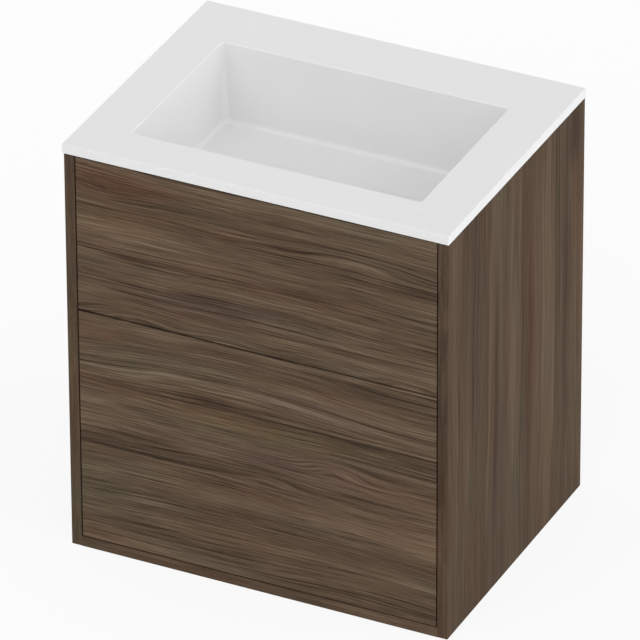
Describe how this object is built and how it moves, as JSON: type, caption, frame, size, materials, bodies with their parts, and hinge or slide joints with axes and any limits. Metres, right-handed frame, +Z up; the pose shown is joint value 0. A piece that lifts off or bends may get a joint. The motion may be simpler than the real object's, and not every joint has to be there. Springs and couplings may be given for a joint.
{
  "type": "vanity unit",
  "caption": "Wall-hung vanity unit: a thin white basin top with a rectangular bowl on a dark wood-decor cabinet with handleless push-to-open drawers.",
  "frame": {"origin": "middle of the bounding box, on the plane of the cabinet's base", "axes": "+X along the width, +Y towards the wall, +Z up; the drawer fronts face -Y"},
  "size_m": [0.6, 0.46, 0.665],
  "materials": {
    "white_basin": "satin white",
    "wood_decor": "dark brown oak decor, matt",
    "carcass_board": "brown-grey faced board",
    "drawer_board": "grey faced board",
    "grey_metal": "matt grey powder coat",
    "galvanised_steel": "zinc-plated sheet",
    "zinc": "bright zinc",
    "chrome": "polished",
    "brass": "machined",
    "black_rubber": "matt",
    "grey_plastic": "moulded grey",
    "white_nylon": "moulded white",
    "beech": "raw"
  },
  "bodies": {
    "root": {"basin_top": "white_basin", "left_side_panel": "wood_decor", "right_side_panel": "wood_decor", "bottom_panel": "wood_decor", "front_rail": "carcass_board", "back_top_rail": "carcass_board", "back_lower_rail": "carcass_board", "carcass_dowels": "beech", "cam_locks": "zinc", "cam_bolts": "zinc", "carcass_screws": "zinc", "basin_brackets": "galvanised_steel", "left_hanger": "galvanised_steel", "right_hanger": "galvanised_steel", "hanger_hooks": "galvanised_steel", "hanger_screws": "zinc", "wall_plates": "galvanised_steel", "waste_body": "chrome", "waste_seal": "black_rubber", "waste_washer": "black_rubber", "waste_nut": "brass", "lower_left_cabinet_rail": "galvanised_steel", "lower_right_cabinet_rail": "galvanised_steel", "lower_push_units": "grey_plastic", "upper_left_cabinet_rail": "galvanised_steel", "upper_right_cabinet_rail": "galvanised_steel", "upper_push_units": "grey_plastic"},
    "waste_plug": {"waste_plug": "chrome", "plug_seal": "black_rubber"},
    "lower_drawer": {"lower_front": "wood_decor", "lower_drawer_left_side": "grey_metal", "lower_drawer_right_side": "grey_metal", "lower_left_drawer_rail": "galvanised_steel", "lower_right_drawer_rail": "galvanised_steel", "lower_front_brackets": "galvanised_steel", "lower_front_screws": "zinc", "lower_strikers": "grey_plastic", "lower_drawer_floor": "drawer_board", "lower_drawer_back": "drawer_board", "lower_gallery_rails": "grey_metal"},
    "lower_middle_rails": {"lower_left_middle_rail": "galvanised_steel", "lower_right_middle_rail": "galvanised_steel", "lower_runner_glides": "white_nylon"},
    "lower_plungers": {"lower_plungers": "white_nylon"},
    "upper_drawer": {"upper_front": "wood_decor", "upper_drawer_left_side": "grey_metal", "upper_drawer_right_side": "grey_metal", "upper_left_drawer_rail": "galvanised_steel", "upper_right_drawer_rail": "galvanised_steel", "upper_front_brackets": "galvanised_steel", "upper_front_screws": "zinc", "upper_strikers": "grey_plastic", "upper_drawer_floor": "drawer_board", "upper_drawer_left_back": "drawer_board", "upper_drawer_right_back": "drawer_board", "upper_notch_surround": "grey_metal"},
    "upper_middle_rails": {"upper_left_middle_rail": "galvanised_steel", "upper_right_middle_rail": "galvanised_steel", "upper_runner_glides": "white_nylon"},
    "upper_plungers": {"upper_plungers": "white_nylon"}
  },
  "joints": [
    {"name": "lower_drawer_slide", "type": "slide", "parent": "root", "child": "lower_drawer", "axis": [0, -1, 0], "range_m": [-0.0025, 0.4]},
    {"name": "lower_middle_rail_slide", "type": "slide", "parent": "root", "child": "lower_middle_rails", "axis": [0, -1, 0], "range_m": [-0.00125, 0.2]},
    {"name": "lower_plunger_slide", "type": "slide", "parent": "root", "child": "lower_plungers", "axis": [0, -1, 0], "range_m": [-0.00025, 0.04]},
    {"name": "upper_drawer_slide", "type": "slide", "parent": "root", "child": "upper_drawer", "axis": [0, -1, 0], "range_m": [-0.0025, 0.4]},
    {"name": "upper_middle_rail_slide", "type": "slide", "parent": "root", "child": "upper_middle_rails", "axis": [0, -1, 0], "range_m": [-0.00125, 0.2]},
    {"name": "upper_plunger_slide", "type": "slide", "parent": "root", "child": "upper_plungers", "axis": [0, -1, 0], "range_m": [-0.00025, 0.04]},
    {"name": "waste_plug_lift", "type": "slide", "parent": "root", "child": "waste_plug", "axis": [0, 0, 1], "range_m": [0, 0.008]}
  ],
  "couplings": [
    {"joint": "lower_middle_rail_slide", "follows": "lower_drawer_slide", "ratio": 0.5},
    {"joint": "lower_plunger_slide", "follows": "lower_drawer_slide", "ratio": 0.1},
    {"joint": "upper_middle_rail_slide", "follows": "upper_drawer_slide", "ratio": 0.5},
    {"joint": "upper_plunger_slide", "follows": "upper_drawer_slide", "ratio": 0.1}
  ]
}
